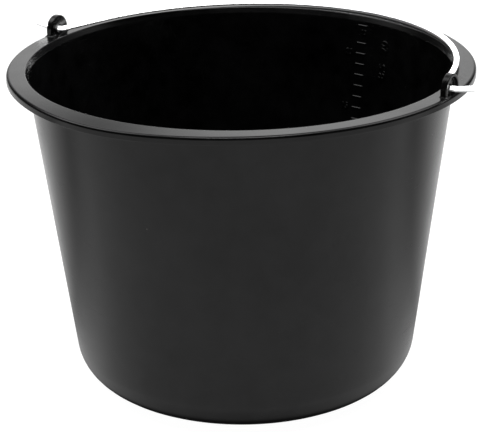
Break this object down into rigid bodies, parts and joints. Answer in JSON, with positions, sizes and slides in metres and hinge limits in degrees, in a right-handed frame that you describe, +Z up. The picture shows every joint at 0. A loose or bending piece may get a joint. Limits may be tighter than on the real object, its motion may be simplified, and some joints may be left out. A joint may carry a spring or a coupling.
{
  "type": "bucket",
  "caption": "Round tapered plastic bucket with a wide flange, upright ear lugs, an inside litre graduation and a folding wire bail.",
  "frame": {"origin": "centre of the foot ring, on the surface that the bucket stands on", "axes": "+Z up through the mouth, X through both bail pivots, the bail folded down towards +Y at rest"},
  "size_m": [0.4402, 0.404, 0.3027],
  "materials": {
    "black_plastic": "satin moulded polypropylene, black all through",
    "galvanised_wire": "bright drawn wire, zinc coated"
  },
  "bodies": {
    "bucket": {"bucket_body": "black_plastic"},
    "bail": {"wire_bail": "galvanised_wire"}
  },
  "joints": [
    {"name": "bail_swing", "type": "hinge", "parent": "bucket", "child": "bail", "pos_m": [0, 0, 0.2903], "axis": [1, 0, 0], "range_deg": [0, 181.1]}
  ]
}
